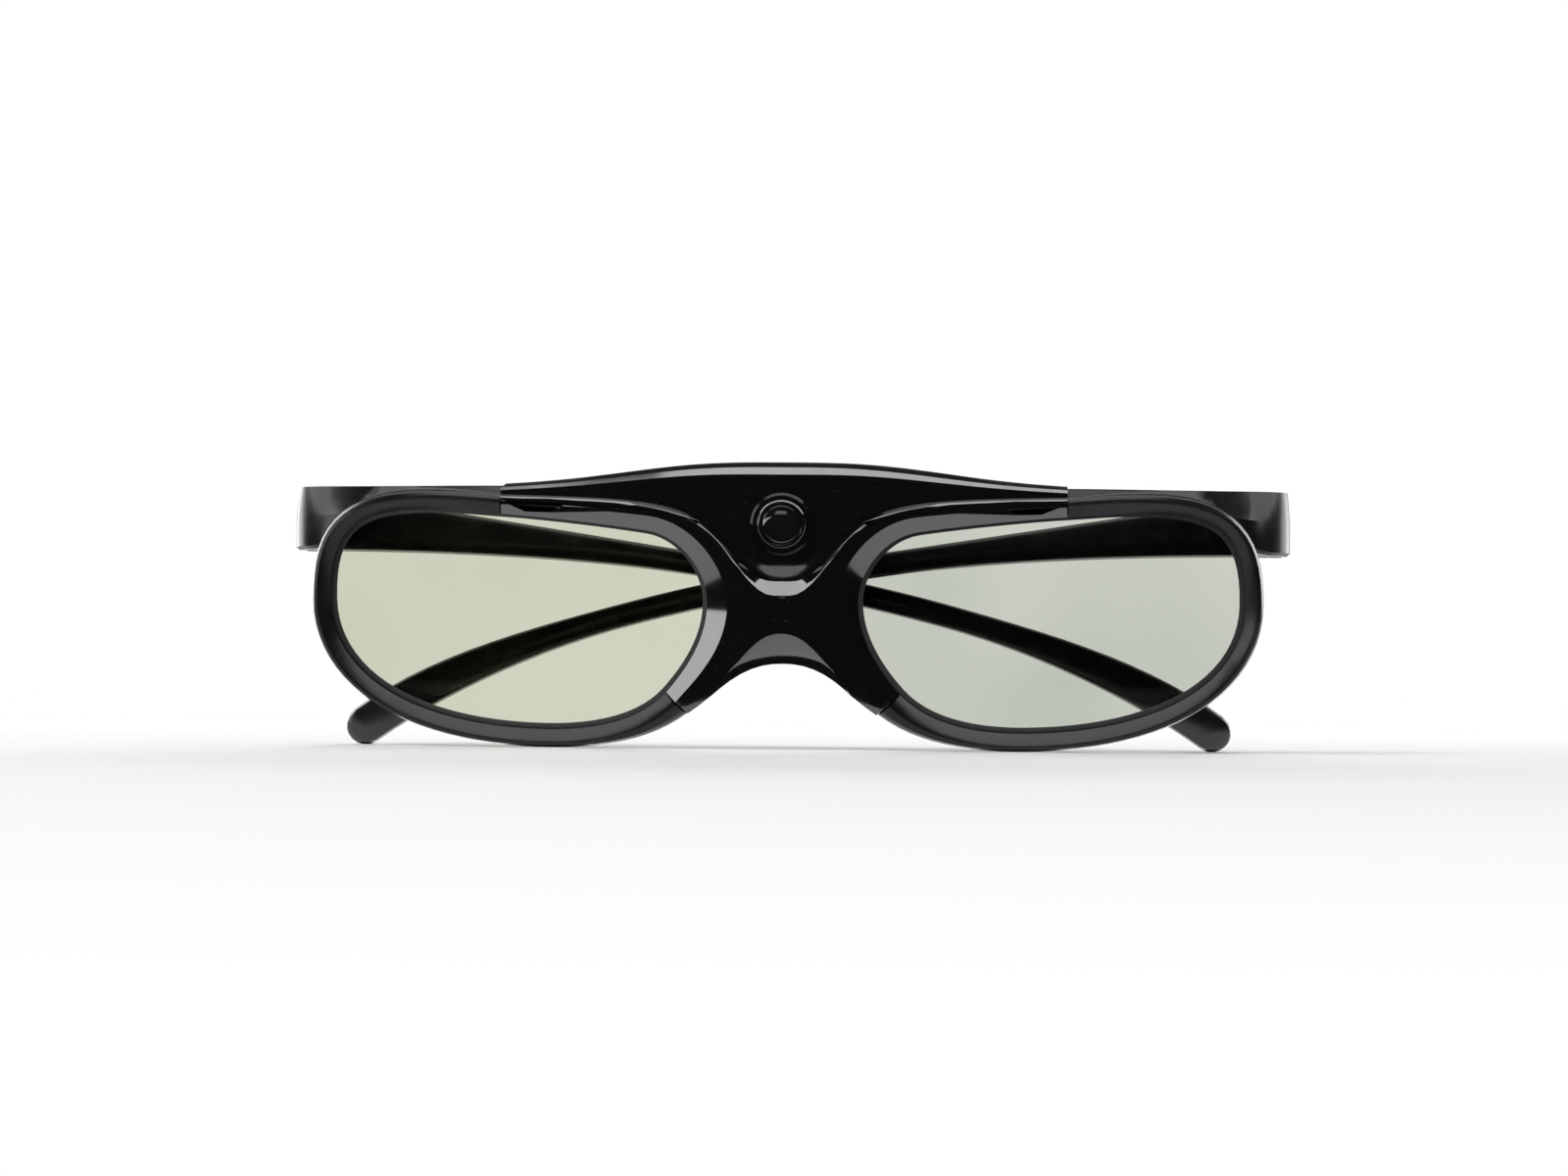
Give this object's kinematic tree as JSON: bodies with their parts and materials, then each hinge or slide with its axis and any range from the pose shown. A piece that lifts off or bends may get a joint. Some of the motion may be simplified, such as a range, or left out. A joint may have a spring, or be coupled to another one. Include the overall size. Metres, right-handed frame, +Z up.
{
  "type": "3d glasses",
  "caption": "Folding active-shutter 3D glasses: a gloss brow and bridge with a sync sensor, satin rims, pale shutter lenses and slim arms that fold on hinge screws.",
  "frame": {"origin": "on the floor under the middle of the folded glasses' box, which stand on both rims and both arm tips", "axes": "+X to the wearer's left, +Y backwards from the lenses to the wearer's face, +Z up along the hinge screws"},
  "size_m": [0.1688, 0.0308, 0.0477],
  "materials": {
    "gloss_cover": "gloss",
    "satin_shell": "satin",
    "satin_arm": "satin",
    "lens": "polished",
    "gasket": "matte",
    "window": "polished",
    "chip": "matte",
    "board": "satin",
    "cell_foil": "satin",
    "lead": "satin",
    "socket_steel": "satin",
    "light_pipe": "polished",
    "ribbon": "satin",
    "screw_steel": "satin"
  },
  "bodies": {
    "front": {"centre_cover": "gloss_cover", "left_bezel": "satin_shell", "right_bezel": "satin_shell", "rear_frame": "satin_shell", "left_lens": "lens", "right_lens": "lens", "left_gasket": "gasket", "right_gasket": "gasket", "sensor_window": "window", "photodiode": "chip", "main_board": "board", "battery": "cell_foil", "battery_leads": "lead", "usb_socket": "socket_steel", "tact_switch": "socket_steel", "status_led": "light_pipe", "left_flex": "ribbon", "right_flex": "ribbon", "left_hinge_screw": "screw_steel", "right_hinge_screw": "screw_steel", "frame_screws": "screw_steel"},
    "left_arm": {"left_temple": "satin_arm"},
    "right_arm": {"right_temple": "satin_arm"},
    "button": {"power_button": "satin_shell"}
  },
  "joints": [
    {"name": "left_arm_hinge", "type": "hinge", "parent": "front", "child": "left_arm", "pos_m": [0.0814, 0.0088, 0.03835], "axis": [0, 0, -1], "range_deg": [0, 91.5]},
    {"name": "right_arm_hinge", "type": "hinge", "parent": "front", "child": "right_arm", "pos_m": [-0.0814, 0.0088, 0.03835], "axis": [0, 0, 1], "range_deg": [0, 88.5]},
    {"name": "power_press", "type": "slide", "parent": "front", "child": "button", "axis": [0, -0.9848, -0.1736], "range_m": [0, 0.0004], "stiffness_N_per_m": 1000}
  ]
}
